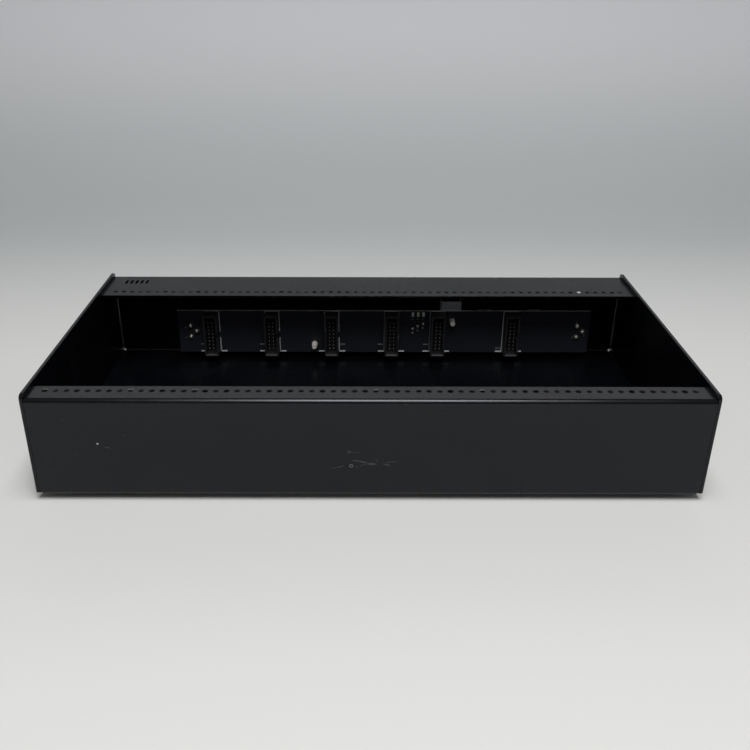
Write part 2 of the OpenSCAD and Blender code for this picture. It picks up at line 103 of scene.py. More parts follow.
def settle(piece, name, material):  # a finished piece: named, applied, dressed and riding
    piece.name = piece.data.name = name
    onlySelect([piece])
    bpy.ops.object.transform_apply(location=True, rotation=True, scale=True)
    bpy.ops.object.shade_smooth_by_angle(angle=smoothAngle)
    piece.data.materials.clear()
    piece.data.materials.append(material)
    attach(piece, "root")


def copiesOf(model, places, turns=None, sizes=None):  # copies with their own meshes, joined into one object
    made = []
    for i, place in enumerate(places):
        copy = model.copy()
        copy.data = model.data.copy()
        copy.location = place
        if turns:
            copy.rotation_euler = turns[i]
        if sizes:
            copy.scale = [sizes[i]] * 3
        bpy.context.collection.objects.link(copy)
        made.append(copy)
    bpy.data.objects.remove(model)
    onlySelect(made)
    bpy.ops.object.join()
    return made[0]


def faceOutward():  # ends an edit with all normals outward
    bpy.ops.mesh.select_all(action="SELECT")
    bpy.ops.mesh.normals_make_consistent(inside=False)
    bpy.ops.object.mode_set(mode="OBJECT")


def stackRings(rings, sides, turn=(0, 0, 0), fill="NGON"):  # a turned form, extruded ring by ring
    bpy.ops.object.select_all(action="DESELECT")
    radius, height = rings[0]
    bpy.ops.mesh.primitive_circle_add(vertices=sides, radius=radius * mm, fill_type=fill)
    bpy.ops.object.mode_set(mode="EDIT")
    bpy.ops.mesh.select_all(action="SELECT")
    bpy.ops.transform.translate(value=(0, 0, height * mm))
    for newRadius, newHeight in rings[1:]:
        bpy.ops.mesh.extrude_region_move(TRANSFORM_OT_translate={"value": (0, 0, (newHeight - height) * mm)})
        share = newRadius / radius
        bpy.ops.transform.resize(value=(share, share, 1), center_override=(0, 0, newHeight * mm))
        radius, height = newRadius, newHeight
    faceOutward()
    piece = bpy.context.active_object
    piece.rotation_euler = turn
    bpy.ops.object.transform_apply(location=True, rotation=True, scale=True)
    return piece


def helix(radius, ridge, pitch, turns, steps):  # a thread's ridge round Z, from a three-sided profile
    bpy.ops.object.select_all(action="DESELECT")
    bpy.ops.mesh.primitive_circle_add(vertices=3, radius=ridge * mm, location=(radius * mm, 0, 0),
                                      rotation=toFront)
    bpy.ops.object.transform_apply(location=True, rotation=True, scale=True)
    piece = bpy.context.active_object
    screw = piece.modifiers.new("thread", "SCREW")
    screw.axis = "Z"
    screw.steps = screw.render_steps = steps
    screw.iterations = turns
    screw.screw_offset = pitch * mm
    bpy.ops.object.modifier_apply(modifier="thread")
    bpy.ops.object.mode_set(mode="EDIT")
    faceOutward()
    return piece


# Camera, fitted to the two rows of module holes

cameraPlace = {"place": (-5.714, -408.223, 248.23), "pitch": 24.294, "yaw": 0.139, "roll": 0.175,
               "sensor": 36, "lens": 38.793, "shift": (0.01936, -0.07944), "clipStart": 10}  # mm, degrees
bpy.ops.object.select_all(action="DESELECT")
bpy.ops.object.camera_add(location=[v * mm for v in cameraPlace["place"]])
camera = bpy.context.active_object
aim = Euler((math.radians(90 - cameraPlace["pitch"]), 0, -math.radians(cameraPlace["yaw"]))).to_matrix()
camera.rotation_euler = (aim @ Matrix.Rotation(math.radians(cameraPlace["roll"]), 3, "Z")).to_euler()
camera.data.sensor_width = cameraPlace["sensor"]
camera.data.lens = cameraPlace["lens"]
camera.data.shift_x, camera.data.shift_y = cameraPlace["shift"]
camera.data.clip_start = cameraPlace["clipStart"] * mm
bpy.context.scene.camera = camera


# Stage: a pale paper sweep with painted shade and light on it, a soft box overhead, a dim one ahead, and a
# room pale below and dim above

# near: painted shade just in front of the case; bend: painted shade at the sweep's bend; dim: a painted
# shade band on the wall; high: a painted light band at the top of the wall
paper = {"ahead": "#d3d3d1", "near": "#cececc", "bend": "#adb1b2", "far": "#c8c9cc", "dim": "#9e9fa0",
         "high": "#f8f8f8", "approach": (-0.23, -0.09), "fade": (0.03, 0.42), "rise": (0.0, 0.18),
         "dip": (0.2, 0.28), "top": (0.34, 0.44), "halfWidth": 1.7, "front": -0.8, "rear": 0.62,
         "height": 0.7, "curve": 0.3, "segments": 32}  # tones, where each fades in, and sizes in metres


def selectRearEdge(sweep):
    bpy.ops.object.mode_set(mode="EDIT")
    bpy.ops.mesh.select_mode(type="EDGE")
    bpy.ops.mesh.select_all(action="DESELECT")
    bpy.ops.object.mode_set(mode="OBJECT")
    spots = [v.co for v in sweep.data.vertices]
    for edge in sweep.data.edges:
        edge.select = all(abs(spots[i].y - paper["rear"]) + abs(spots[i].z) < 1e-4 for i in edge.vertices)
    bpy.ops.object.mode_set(mode="EDIT")


def paperSweep():
    material, tree, coords = startMaterial("paper_with_painted_shade_and_light")  # uncoated paper, with painted shade near the case, at its bend and in a band on the wall, and a painted light band high on the wall
    split = addNode(tree, "ShaderNodeSeparateXYZ", {}, {"Vector": coords})
    tint = linearOf(paper["ahead"])
    # near, bend and dim darken the paper as painted shade; high lightens the top of the wall as painted
    # light
    for axis, reach, tone in (("Y", "approach", "near"), ("Y", "fade", "bend"), ("Z", "rise", "far"),
                              ("Z", "dip", "dim"), ("Z", "top", "high")):
        share = addNode(tree, "ShaderNodeMapRange", {"interpolation_type": "SMOOTHSTEP"},
                        {"Value": split.outputs[axis],
                         "From Min": paper[reach][0], "From Max": paper[reach][1]})
        tint = addNode(tree, "ShaderNodeMix", {"data_type": "RGBA"},
                       {0: share.outputs["Result"], 6: tint, 7: linearOf(paper[tone])}).outputs[2]
    endMaterial(tree, {"Base Color": tint, "Roughness": 0.9, "Specular IOR Level": 0.2})
    bpy.ops.object.select_all(action="DESELECT")
    bpy.ops.mesh.primitive_plane_add(size=2)
    sweep = bpy.context.active_object
    sweep.scale = (paper["halfWidth"], (paper["rear"] - paper["front"]) / 2, 1)
    sweep.location = (0, (paper["rear"] + paper["front"]) / 2, 0)
    bpy.ops.object.transform_apply(location=True, rotation=True, scale=True)
    selectRearEdge(sweep)
    bpy.ops.mesh.extrude_region_move(TRANSFORM_OT_translate={"value": (0, 0, paper["height"])})
    selectRearEdge(sweep)
    bpy.ops.mesh.bevel(offset=paper["curve"], segments=paper["segments"], affect="EDGES")
    bpy.ops.object.mode_set(mode="OBJECT")
    bpy.ops.object.shade_smooth()
    sweep.name = "paper_sweep"
    sweep.data.materials.append(material)


softBoxes = {"top_box": {"place": (0.05, -0.46, 1.3), "target": (0.05, -0.46, 0),
                         "size": (0.53, 0.85), "power": 18.9},
             "front_fill": {"place": (0.04, -0.95, 1.2), "target": (0, 0, 0),
                            "size": (1.0, 0.6), "power": 1.0}}  # metres and watts


def softBox(name, place, target, size, power):
    bpy.ops.object.select_all(action="DESELECT")
    bpy.ops.object.light_add(type="AREA", location=place)
    lamp = bpy.context.active_object
    lamp.name = name
    lamp.data.shape = "RECTANGLE"
    lamp.data.size, lamp.data.size_y = size
    lamp.data.energy = power
    lamp.rotation_euler = (Vector(target) - Vector(place)).to_track_quat("-Z", "Y").to_euler()


room = {"walls": 0.7, "ceiling": 0.08, "lean": (0, -0.25, 1), "fade": (0.28, 0.44), "tint": "#ffffff"}


def gradedRoom():  # pale walls and a dim ceiling that comes lower at the front
    world = bpy.data.worlds.new("dim_room")
    world.use_nodes = True
    tree = world.node_tree
    heading = addNode(tree, "ShaderNodeTexCoord", {}, {}).outputs["Object"]
    upward = addNode(tree, "ShaderNodeVectorMath", {"operation": "DOT_PRODUCT"},
                     {0: heading, 1: room["lean"]})
    pale = addNode(tree, "ShaderNodeMapRange", {"interpolation_type": "SMOOTHSTEP"},
                   {"Value": upward.outputs["Value"], "To Min": room["walls"], "To Max": room["ceiling"],
                    "From Min": room["fade"][0], "From Max": room["fade"][1]})
    tree.nodes["Background"].inputs["Color"].default_value = linearOf(room["tint"])
    tree.links.new(pale.outputs["Result"], tree.nodes["Background"].inputs["Strength"])
    bpy.context.scene.world = world


paperSweep()
for name, box in softBoxes.items():
    softBox(name, **box)
gradedRoom()
bpy.context.scene.view_settings.view_transform = "Standard"
print("stage: camera, sweep and light")


# Finishes

coat = {"black": "#040508", "handled": "#07080b", "speck": "#5c5d5e", "sheen": "#f5f8ff",
        "grainMm": 0.8, "peelMm": 0.02, "smudgeMm": 34, "speckMm": 9, "edgeMm": 0.3,
        "smudged": (0.42, 0.7), "glossy": (0.3, 0.7), "rough": (0.22, 0.3),
        "speckReach": 0.022, "speckAbove": 0.72}  # specks: radius in cells, and which cells have one


def satinPowderCoat():  # polyester powder coat, baked: fine orange peel, satin, greasy where hands were
    material, tree, coords = startMaterial("satin_black_powder_coat")
    grain = addNode(tree, "ShaderNodeTexNoise", {},
                    {"Vector": coords, "Scale": perMetre(coat["grainMm"]), "Detail": 2})
    smudge = addNode(tree, "ShaderNodeTexNoise", {},
                     {"Vector": coords, "Scale": perMetre(coat["smudgeMm"]), "Detail": 4, "Distortion": 0.6})
    handled = addNode(tree, "ShaderNodeMapRange", {},
                      {"Value": smudge.outputs["Fac"],
                       "From Min": coat["smudged"][0], "From Max": coat["smudged"][1]})
    colour = addNode(tree, "ShaderNodeMix", {"data_type": "RGBA"},
                     {0: handled.outputs["Result"], 6: linearOf(coat["black"]),
                      7: linearOf(coat["handled"])})
    cells = addNode(tree, "ShaderNodeTexVoronoi", {}, {"Vector": coords, "Scale": perMetre(coat["speckMm"])})
    near = addNode(tree, "ShaderNodeMath", {"operation": "LESS_THAN"},
                   {0: cells.outputs["Distance"], 1: coat["speckReach"]})
    rare = addNode(tree, "ShaderNodeSeparateColor", {}, {"Color": cells.outputs["Color"]})
    chosen = addNode(tree, "ShaderNodeMath", {"operation": "GREATER_THAN"},
                     {0: rare.outputs["Red"], 1: coat["speckAbove"]})
    speck = addNode(tree, "ShaderNodeMath", {"operation": "MULTIPLY"},
                    {0: near.outputs[0], 1: chosen.outputs[0]})
    dusty = addNode(tree, "ShaderNodeMix", {"data_type": "RGBA"},
                    {0: speck.outputs[0], 6: colour.outputs[2], 7: linearOf(coat["speck"])})
    rough = addNode(tree, "ShaderNodeMapRange", {},
                    {"Value": smudge.outputs["Fac"],
                     "From Min": coat["glossy"][0], "From Max": coat["glossy"][1],
                     "To Min": coat["rough"][0], "To Max": coat["rough"][1]})
    soft = addNode(tree, "ShaderNodeBevel", {"samples": 6}, {"Radius": coat["edgeMm"] * mm})
    peel = addNode(tree, "ShaderNodeBump", {},
                   {"Strength": 0.35, "Distance": coat["peelMm"] * mm, "Height": grain.outputs["Fac"],
                    "Normal": soft.outputs["Normal"]})
    endMaterial(tree, {"Base Color": dusty.outputs[2], "Roughness": rough.outputs["Result"], "IOR": 1.4,
                       "Specular Tint": linearOf(coat["sheen"]), "Normal": peel.outputs["Normal"]})
    return material


mask = {"black": "#202128", "band": "#26282f", "edge": "#f4f8ff", "bandMm": 7.4, "gapMm": 0.45,
        "rippleMm": 1.6, "rippleShare": 0.25, "copperMm": 0.03, "facing": 0.5}


def blackSolderMask():  # glossy resin over copper bands on glass-fibre board, bare fibre at the cut edges
    material, tree, coords = startMaterial("black_solder_mask")
    split = addNode(tree, "ShaderNodeSeparateXYZ", {}, {"Vector": coords})
    place = addNode(tree, "ShaderNodeMath", {"operation": "MULTIPLY"},
                    {0: split.outputs["Z"], 1: perMetre(mask["bandMm"])})
    along = addNode(tree, "ShaderNodeMath", {"operation": "FRACT"}, {0: place.outputs[0]})
    copper = addNode(tree, "ShaderNodeMath", {"operation": "GREATER_THAN"},
                     {0: along.outputs[0], 1: mask["gapMm"] / mask["bandMm"]})
    resin = addNode(tree, "ShaderNodeMix", {"data_type": "RGBA"},
                    {0: copper.outputs[0], 6: linearOf(mask["black"]), 7: linearOf(mask["band"])})
    facing = addNode(tree, "ShaderNodeNewGeometry", {}, {})
    normal = addNode(tree, "ShaderNodeSeparateXYZ", {}, {"Vector": facing.outputs["True Normal"]})
    flat = addNode(tree, "ShaderNodeMath", {"operation": "ABSOLUTE"}, {0: normal.outputs["Y"]})
    cut = addNode(tree, "ShaderNodeMath", {"operation": "LESS_THAN"},
                  {0: flat.outputs[0], 1: mask["facing"]})
    colour = addNode(tree, "ShaderNodeMix", {"data_type": "RGBA"},
                     {0: cut.outputs[0], 6: resin.outputs[2], 7: linearOf(mask["edge"])})
    ripple = addNode(tree, "ShaderNodeTexNoise", {},
                     {"Vector": coords, "Scale": perMetre(mask["rippleMm"]), "Detail": 2})
    height = addNode(tree, "ShaderNodeMath", {"operation": "MULTIPLY_ADD"},
                     {0: ripple.outputs["Fac"], 1: mask["rippleShare"], 2: copper.outputs[0]})
    bump = addNode(tree, "ShaderNodeBump", {},
                   {"Strength": 0.5, "Distance": mask["copperMm"] * mm, "Height": height.outputs[0]})
    endMaterial(tree, {"Base Color": colour.outputs[2], "Roughness": 0.38, "Normal": bump.outputs["Normal"]})
    return material


moulding = {"black": "#1b1c1f", "grey": "#27282b", "grainMm": 0.35,
            "grainDeepMm": 0.02}  # grain coarser than the real one, so that it shows


def mouldedBlack():  # glass-filled nylon from a spark-eroded mould: dull black with a fine grain
    material, tree, coords = startMaterial("moulded_black_nylon")
    grain = addNode(tree, "ShaderNodeTexNoise", {},
                    {"Vector": coords, "Scale": perMetre(moulding["grainMm"]), "Detail": 3})
    colour = addNode(tree, "ShaderNodeMix", {"data_type": "RGBA"},
                     {0: grain.outputs["Fac"],
                      6: linearOf(moulding["black"]), 7: linearOf(moulding["grey"])})
    bump = addNode(tree, "ShaderNodeBump", {},
                   {"Strength": 0.4, "Distance": moulding["grainDeepMm"] * mm,
                    "Height": grain.outputs["Fac"]})
    endMaterial(tree, {"Base Color": colour.outputs[2], "Roughness": 0.5, "IOR": 1.45,
                       "Normal": bump.outputs["Normal"]})
    return material


# dipped tin is bright and cloudy, nickel warm and even, fresh solder pale with a yellow of flux, slow solder
# greyer, drilled steel darkened as painted shade in the holes, and a drawn can soft grey
plates = {
    "tin_plate": {"bright": "#d6d6d2", "dull": "#a9a9a4", "patchMm": 1.5, "rough": (0.2, 0.4)},
    "nickel_plate": {"bright": "#b9b7b2", "dull": "#98968f", "patchMm": 3, "rough": (0.22, 0.38)},
    "melted_tin_solder": {"bright": "#f6f4ee", "dull": "#ddd5ba", "patchMm": 0.9, "rough": (0.42, 0.56)},
    "dull_tin_solder": {"bright": "#d6d5cf", "dull": "#b0ab98", "patchMm": 0.9, "rough": (0.35, 0.5)},
    # steel darkened far below bare steel as painted shade in the hole threads and rims, lighter in random
    # patches
    "steel_darkened_as_painted_shade": {"bright": "#4c4c4b", "dull": "#131314", "patchMm": 7, "rough": (0.35, 0.55)},
    "drawn_aluminium_can": {"bright": "#c9cbce", "dull": "#b3b6ba", "patchMm": 4, "rough": (0.3, 0.45)}}


def platedMetal(name, bright, dull, patchMm, rough):  # plated, cut or melted metal, dulled in patches
    material, tree, coords = startMaterial(name)
    patch = addNode(tree, "ShaderNodeTexNoise", {},
                    {"Vector": coords, "Scale": perMetre(patchMm), "Detail": 3})
    tarnish = addNode(tree, "ShaderNodeMapRange", {},
                      {"Value": patch.outputs["Fac"], "From Min": 0.35, "From Max": 0.65})
    colour = addNode(tree, "ShaderNodeMix", {"data_type": "RGBA"},
                     {0: tarnish.outputs["Result"], 6: linearOf(bright), 7: linearOf(dull)})
    gloss = addNode(tree, "ShaderNodeMapRange", {},
                    {"Value": tarnish.outputs["Result"], "To Min": rough[0], "To Max": rough[1]})
    bump = addNode(tree, "ShaderNodeBump", {},
                   {"Strength": 0.25, "Distance": 0.02 * mm, "Height": patch.outputs["Fac"]})
    endMaterial(tree, {"Base Color": colour.outputs[2], "Metallic": 1.0,
                       "Roughness": gloss.outputs["Result"], "Normal": bump.outputs["Normal"]})
    return material


# tip: painted light on the front faces of the pins; shaft: painted shade on all their other faces
pinLook = {"tip": "#c9c6b4", "painted_shade_shaft": "#232220", "patchMm": 2, "rough": (0.35, 0.6), "ahead": -0.15}


def goldWithPaintedLightAndShade():  # gold flash on drawn brass: pale on the faces turned to the front as painted light, dark on all other faces as painted shade
    material, tree, coords = startMaterial("gold_flash_with_painted_light_and_shade")
    facing = addNode(tree, "ShaderNodeNewGeometry", {}, {})
    normal = addNode(tree, "ShaderNodeSeparateXYZ", {}, {"Vector": facing.outputs["True Normal"]})
    # faces turned to the front take the painted light, the others the painted shade
    ahead = addNode(tree, "ShaderNodeMath", {"operation": "LESS_THAN"},
                    {0: normal.outputs["Y"], 1: pinLook["ahead"]})
    patch = addNode(tree, "ShaderNodeTexNoise", {},
                    {"Vector": coords, "Scale": perMetre(pinLook["patchMm"]), "Detail": 2})
    rough = addNode(tree, "ShaderNodeMapRange", {},
                    {"Value": patch.outputs["Fac"],
                     "To Min": pinLook["rough"][0], "To Max": pinLook["rough"][1]})
    colour = addNode(tree, "ShaderNodeMix", {"data_type": "RGBA"},
                     {0: ahead.outputs[0], 6: linearOf(pinLook["painted_shade_shaft"]), 7: linearOf(pinLook["tip"])})
    endMaterial(tree, {"Base Color": colour.outputs[2], "Metallic": 1.0,
                       "Roughness": rough.outputs["Result"]})
    return material


nylonLook = {"wax": "#eceae2", "cloud": "#dcd9cf", "cloudMm": 2.5, "lightInMm": 0.6}


def naturalNylon():  # unfilled moulded nylon: waxy off-white, light goes a little way in
    material, tree, coords = startMaterial("natural_nylon")
    cloud = addNode(tree, "ShaderNodeTexNoise", {},
                    {"Vector": coords, "Scale": perMetre(nylonLook["cloudMm"]), "Detail": 2})
    colour = addNode(tree, "ShaderNodeMix", {"data_type": "RGBA"},
                     {0: cloud.outputs["Fac"],
                      6: linearOf(nylonLook["wax"]), 7: linearOf(nylonLook["cloud"])})
    endMaterial(tree, {"Base Color": colour.outputs[2], "Roughness": 0.42, "IOR": 1.53,
                       "Subsurface Weight": 0.15, "Subsurface Scale": nylonLook["lightInMm"] * mm})
    return material


ferriteLook = {"grey": "#cdd8e2", "pale": "#dbe4ec", "poreMm": 0.5,
               "poreDeepMm": 0.03}  # pores coarser than the real ones, so that they show


def pressedFerrite():  # pressed and fired ferrite: matt pale grey, slightly porous
    material, tree, coords = startMaterial("pressed_ferrite")
    pores = addNode(tree, "ShaderNodeTexNoise", {},
                    {"Vector": coords, "Scale": perMetre(ferriteLook["poreMm"]), "Detail": 4})
    colour = addNode(tree, "ShaderNodeMix", {"data_type": "RGBA"},
                     {0: pores.outputs["Fac"],
                      6: linearOf(ferriteLook["grey"]), 7: linearOf(ferriteLook["pale"])})
    bump = addNode(tree, "ShaderNodeBump", {},
                   {"Strength": 0.4, "Distance": ferriteLook["poreDeepMm"] * mm,
                    "Height": pores.outputs["Fac"]})
    endMaterial(tree, {"Base Color": colour.outputs[2], "Roughness": 0.6, "Normal": bump.outputs["Normal"]})
    return material


sheetLook = {"grey": "#dcdee0", "pale": "#eceef0", "lineMm": 0.3,
             "drawnOut": (1, 1, 0.04)}  # lines coarser than the real ones, so that they show


def rolledAluminium():  # cold-rolled sheet: grey, faint lines along the rolling direction
    material, tree, coords = startMaterial("rolled_aluminium")
    stretch = addNode(tree, "ShaderNodeMapping", {}, {"Vector": coords, "Scale": sheetLook["drawnOut"]})
    lines = addNode(tree, "ShaderNodeTexNoise", {},
                    {"Vector": stretch.outputs["Vector"], "Scale": perMetre(sheetLook["lineMm"]),
                     "Detail": 3})
    colour = addNode(tree, "ShaderNodeMix", {"data_type": "RGBA"},
                     {0: lines.outputs["Fac"],
                      6: linearOf(sheetLook["grey"]), 7: linearOf(sheetLook["pale"])})
    endMaterial(tree, {"Base Color": colour.outputs[2], "Metallic": 1.0, "Roughness": 0.45})
    return material


fuseLook = {"lift": 0.8, "thin": "#d8a63c", "thick": "#c08a1e", "lead": "#d6d6d2", "cloudMm": 1.5}


def dippedResin():  # epoxy dipped over a disc: glossy amber, uneven in thickness, on bright tinned leads
    material, tree, coords = startMaterial("dipped_amber_resin")
    split = addNode(tree, "ShaderNodeSeparateXYZ", {}, {"Vector": coords})
    leadEnd = (boxOf("power_board")[1].y + fuseLook["lift"]) * mm
    lead = addNode(tree, "ShaderNodeMath", {"operation": "LESS_THAN"}, {0: split.outputs["Y"], 1: leadEnd})
    cloud = addNode(tree, "ShaderNodeTexNoise", {},
                    {"Vector": coords, "Scale": perMetre(fuseLook["cloudMm"]), "Detail": 2})
    resin = addNode(tree, "ShaderNodeMix", {"data_type": "RGBA"},
                    {0: cloud.outputs["Fac"], 6: linearOf(fuseLook["thick"]), 7: linearOf(fuseLook["thin"])})
    colour = addNode(tree, "ShaderNodeMix", {"data_type": "RGBA"},
                     {0: lead.outputs[0], 6: resin.outputs[2], 7: linearOf(fuseLook["lead"])})
    endMaterial(tree, {"Base Color": colour.outputs[2], "Metallic": lead.outputs[0], "Roughness": 0.25})
    return material


lampLook = {"clear": "#d3dade", "tinted": "#dfe8b8", "reach": 1.7, "lightInMm": 0.4}


def lampResin():  # casting resin over a white carrier: the middle lamp yellowish, the others clear
    material, tree, coords = startMaterial("lamp_casting_resin")
    split = addNode(tree, "ShaderNodeSeparateXYZ", {}, {"Vector": coords})
    low, high = boxOf("status_lamps")
    offset = addNode(tree, "ShaderNodeMath", {"operation": "SUBTRACT"},
                     {0: split.outputs["X"], 1: (low.x + high.x) / 2 * mm})
    away = addNode(tree, "ShaderNodeMath", {"operation": "ABSOLUTE"}, {0: offset.outputs[0]})
    inner = addNode(tree, "ShaderNodeMath", {"operation": "LESS_THAN"},
                    {0: away.outputs[0], 1: lampLook["reach"] * mm})
    colour = addNode(tree, "ShaderNodeMix", {"data_type": "RGBA"},
                     {0: inner.outputs[0], 6: linearOf(lampLook["clear"]), 7: linearOf(lampLook["tinted"])})
    endMaterial(tree, {"Base Color": colour.outputs[2], "Roughness": 0.2, "IOR": 1.52,
                       "Subsurface Weight": 0.2, "Subsurface Scale": lampLook["lightInMm"] * mm})
    return material


rubberLook = {"black": "#1a1a1b", "dusty": "#2b2b2c", "grainMm": 0.5,
              "grainDeepMm": 0.03}  # grain coarser than the real one, so that it shows


def blackRubber():  # moulded rubber: matt, dusty, fine grain
    material, tree, coords = startMaterial("moulded_rubber")
    grain = addNode(tree, "ShaderNodeTexNoise", {},
                    {"Vector": coords, "Scale": perMetre(rubberLook["grainMm"]), "Detail": 4})
    colour = addNode(tree, "ShaderNodeMix", {"data_type": "RGBA"},
                     {0: grain.outputs["Fac"],
                      6: linearOf(rubberLook["black"]), 7: linearOf(rubberLook["dusty"])})
    bump = addNode(tree, "ShaderNodeBump", {},
                   {"Strength": 0.5, "Distance": rubberLook["grainDeepMm"] * mm,
                    "Height": grain.outputs["Fac"]})
    endMaterial(tree, {"Base Color": colour.outputs[2], "Roughness": 0.75, "Normal": bump.outputs["Normal"]})
    return material


inkPatchMm = 0.6


def printedInk(name, solid, worn):  # epoxy ink through a screen: opaque, patchy where it is thin
    material, tree, coords = startMaterial(name)
    patch = addNode(tree, "ShaderNodeTexNoise", {},
                    {"Vector": coords, "Scale": perMetre(inkPatchMm), "Detail": 3})
    colour = addNode(tree, "ShaderNodeMix", {"data_type": "RGBA"},
                     {0: patch.outputs["Fac"], 6: linearOf(solid), 7: linearOf(worn)})
    endMaterial(tree, {"Base Color": colour.outputs[2], "Roughness": 0.6})
    return material


headerNames = [f"header_shroud_{i}" for i in range(1, 7)]
pinNames = [f"header_pins_{i}" for i in range(1, 7)]
sides = ["left", "right"]
tinPlate, nickelPlate, meltedSolder, dullSolder, paintedShadeSteel, canAluminium = [
    platedMetal(name, **look) for name, look in plates.items()]
black = mouldedBlack()
dress(["chassis"], satinPowderCoat())
dress(["power_board"], blackSolderMask())
dress(headerNames + [f"jack_{side}" for side in sides] + ["regulator", "converter_chips"], black)
dress(pinNames, goldWithPaintedLightAndShade())
dress([f"jack_contacts_{side}" for side in sides], tinPlate)
dress([f"jack_nut_{side}" for side in sides], nickelPlate)
dress([f"inductor_{side}" for side in sides], pressedFerrite())
dress(["board_post", "push_rivet"], naturalNylon())
dress(["heat_sink"], rolledAluminium())
dress(["rail_capacitors"], canAluminium)
dress(["rail_fuses"], dippedResin())
dress(["status_lamps"], lampResin())
dress([f"foot_{i}" for i in range(1, 5)], blackRubber())
print("finishes: every solid is dressed")


# Added pieces

boardLow, boardHigh = boxOf("power_board")
boardFront = boardLow.y
headerMiddles = [(boxOf(name)[0] + boxOf(name)[1]) / 2 for name in headerNames]


def onBoard(x, z):  # a place on the board's front, in metres
    return Vector((x, boardFront, z)) * mm


def roughen(piece, offset, seed):  # small seeded unevenness
    onlySelect([piece])
    bpy.ops.object.mode_set(mode="EDIT")
    bpy.ops.mesh.select_all(action="SELECT")
    bpy.ops.transform.vertex_random(offset=offset * mm, uniform=0.6, normal=0.4, seed=seed)
    bpy.ops.object.mode_set(mode="OBJECT")


joint = {"lug": [(1.5, 0), (1.45, 0.3), (1.35, 0.8), (1.15, 1.3), (0.75, 1.75), (0.25, 1.95)],
         "lead": [(1.15, 0), (1.0, 0.1), (0.72, 0.35), (0.5, 0.75), (0.34, 1.02), (0.12, 1.1)],
         "pad": [(0.85, 0), (0.8, 0.07), (0.35, 0.1)],
         "ring": 3.8, "lean": 0.12, "spin": 6, "seed": 7, "leadPitch": 3.4, "leadStep": 1.7, "leadHalf": 1.5,
         "upper": 0.9, "lower": 0.6, "lugSides": 16, "leadSides": 14,
         "lugRough": (0.09, 3), "leadRough": (0.06, 5),  # unevenness in mm, and its seed
         "spare": {"left": [(-3.4, 2.2), (-3.6, -4.8)], "right": [(5.2, -2.9), (-2.4, -4.6), (-0.6, 5.9)]}}


def solderJoints():
    draw = random.Random(joint["seed"])
    for side in sides:
        low, high = boxOf(f"jack_{side}")
        middle = (low + high) / 2
        spots = [(0, joint["ring"]), (joint["ring"], 0), (0, -joint["ring"])]
        blob = stackRings(joint["lug"], joint["lugSides"], toFront)
        turns = [(draw.uniform(-1, 1) * joint["lean"], draw.uniform(0, joint["spin"]),
                  draw.uniform(-1, 1) * joint["lean"]) for spot in spots]
        blobs = copiesOf(blob, [onBoard(middle.x + x, middle.z + z) for x, z in spots], turns)
        roughen(blobs, *joint["lugRough"])
        settle(blobs, f"lug_solder_{side}", meltedSolder)
        pads = copiesOf(stackRings(joint["pad"], joint["leadSides"], toFront),
                        [onBoard(middle.x + x, middle.z + z) for x, z in joint["spare"][side]])
        settle(pads, f"spare_pads_{side}", tinPlate)
    low, high = boxOf("rail_fuses")
    middle = (low + high) / 2
    leads = [(middle.x + i * joint["leadPitch"], middle.z + i * joint["leadStep"] + end * joint["leadHalf"])
             for i in (-1, 0, 1) for end in (-1, 1)]
    cones = copiesOf(stackRings(joint["lead"], joint["leadSides"], toFront),
                     [onBoard(x, z) for x, z in leads], sizes=[joint["lower"], joint["upper"]] * 3)
    roughen(cones, *joint["leadRough"])
    settle(cones, "fuse_solder", dullSolder)


inkMarks = {"ink": 0.03, "corner": 0.25, "line": 0.42, "outline": 4.66, "halfShare": 0.5,
            # the bold lines: real print, drawn wider on the lower board where light falls, as painted light
            "paintedLightWidth": 0.5, "paintedLightShare": 0.36, "paintedLightSide": 4.7, "paintedLightOn": 3,
            "below": 0.5, "above": 0.6, "topLine": (9.3, 0.45),
            "bar": (4.1, 0.95), "barSide": 6.5, "barUp": 0.75,
            "smallBar": (3.3, 0.6), "smallSide": 6.9, "smallUp": 5.7,
            "smallAt": [(-1, 0), (-1, 0), (1, 0), (-1, 0), (-1, 0), (-1, -2.7)],  # side, and step up
            "dash": (1.5, 0.4), "dashPitch": 3.4, "dashDrop": 1.9,
            "white": ("#fafbfb", "#dde1e1"), "worn": ("#aab0b2", "#7d8386"), "thin": ("#9aa0a2", "#6d7376")}


def inkStrip(width, height):  # a thin raised strip with soft corners, facing the front
    bpy.ops.object.select_all(action="DESELECT")
    bpy.ops.mesh.primitive_plane_add(size=1)
    strip = bpy.context.active_object
    strip.scale = (width * mm, height * mm, 1)
    bpy.ops.object.transform_apply(location=True, rotation=True, scale=True)
    bpy.ops.object.mode_set(mode="EDIT")
    bpy.ops.mesh.select_all(action="SELECT")
    bpy.ops.mesh.bevel(offset=min(width, height) * inkMarks["corner"] * mm, segments=2, affect="VERTICES")
    bpy.ops.mesh.select_all(action="SELECT")
    bpy.ops.mesh.extrude_region_move(TRANSFORM_OT_translate={"value": (0, 0, inkMarks["ink"] * mm)})
    faceOutward()
    strip.rotation_euler = toFront
    bpy.ops.object.transform_apply(location=True, rotation=True, scale=True)
    return strip


